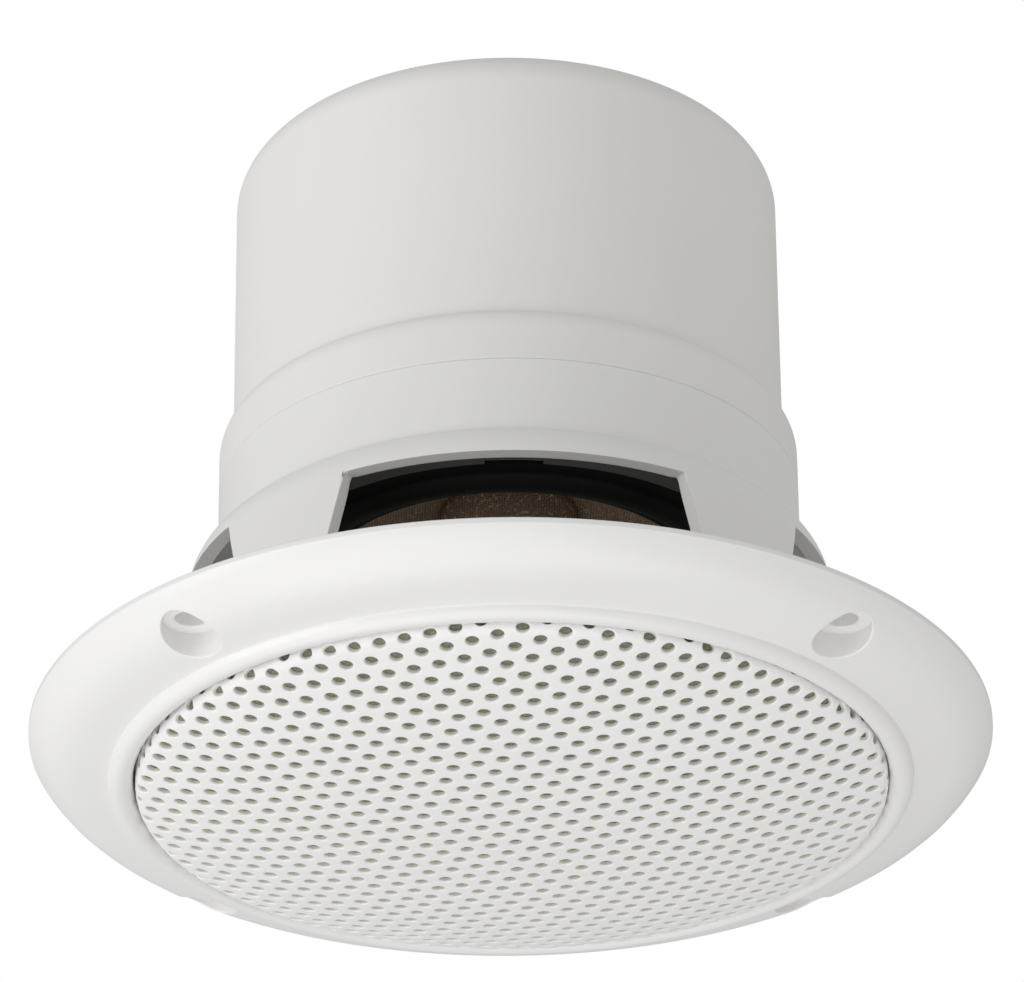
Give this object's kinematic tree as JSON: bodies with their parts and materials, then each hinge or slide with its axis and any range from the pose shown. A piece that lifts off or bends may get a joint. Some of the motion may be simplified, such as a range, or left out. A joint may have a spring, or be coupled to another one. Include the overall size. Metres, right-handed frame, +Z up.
{
  "type": "recessed ceiling speaker",
  "caption": "Round recessed ceiling speaker with a convex moulded flange, a domed perforated grille, a vented skirt and a closed rear cap.",
  "frame": {"origin": "centre of the four ceiling screw holes, in the plane of the flange's back face", "axes": "+Z up into the ceiling along the speaker's axis, -Z into the room, screw holes at 45 degrees between X and Y"},
  "size_m": [0.18, 0.18, 0.1422],
  "materials": {
    "frame_plastic": "glossy off-white moulding",
    "grille_paint": "white powder coat on perforated sheet",
    "fleece": "pale grey-green acoustic fleece",
    "cap_plastic": "fine-grained off-white moulding",
    "basket_paint": "black painted pressed steel",
    "seal_foam": "foam seal",
    "trim_plastic": "dark grey ring",
    "surround_rubber": "black rubber half roll",
    "cone_weave": "brown woven cone",
    "dust_cap_fabric": "dark woven dome",
    "former_film": "amber film",
    "coil_wire": "enamelled copper wire",
    "spider_cloth": "stiffened cotton cloth",
    "plated_steel": "zinc-plated steel",
    "ferrite": "sintered ceramic magnet",
    "board": "brown laminate",
    "terminal_metal": "tinned blade",
    "screw_metal": "zinc-plated",
    "tinsel": "braided copper tinsel",
    "grommet_rubber": "soft black rubber",
    "block_plastic": "natural moulding",
    "wire_red": "red insulation",
    "wire_black": "black insulation"
  },
  "bodies": {
    "housing": {"front_frame": "frame_plastic", "vented_skirt": "frame_plastic", "grille": "grille_paint", "grille_fleece": "fleece", "rear_cap": "cap_plastic", "driver_basket": "basket_paint", "basket_seal": "seal_foam", "trim_ring": "trim_plastic", "surround": "surround_rubber", "spider": "spider_cloth", "top_plate": "plated_steel", "magnet": "ferrite", "yoke": "plated_steel", "terminal_board": "board", "terminal_positive": "terminal_metal", "terminal_negative": "terminal_metal", "board_rivets": "screw_metal", "tinsel_positive": "tinsel", "tinsel_negative": "tinsel", "driver_screws": "screw_metal", "cable_grommet": "grommet_rubber", "terminal_block": "block_plastic", "clamp_screws": "screw_metal", "block_screws": "screw_metal", "supply_wire_positive": "wire_red", "supply_wire_negative": "wire_black"},
    "cone_assembly": {"cone": "cone_weave", "dust_cap": "dust_cap_fabric", "coil_former": "former_film", "voice_coil": "coil_wire"}
  },
  "joints": [
    {"name": "cone_travel", "type": "slide", "parent": "housing", "child": "cone_assembly", "axis": [0, 0, 1], "range_m": [-0.0025, 0.0025], "stiffness_N_per_m": 1500, "deforming": ["surround", "spider", "tinsel_positive", "tinsel_negative"]}
  ]
}
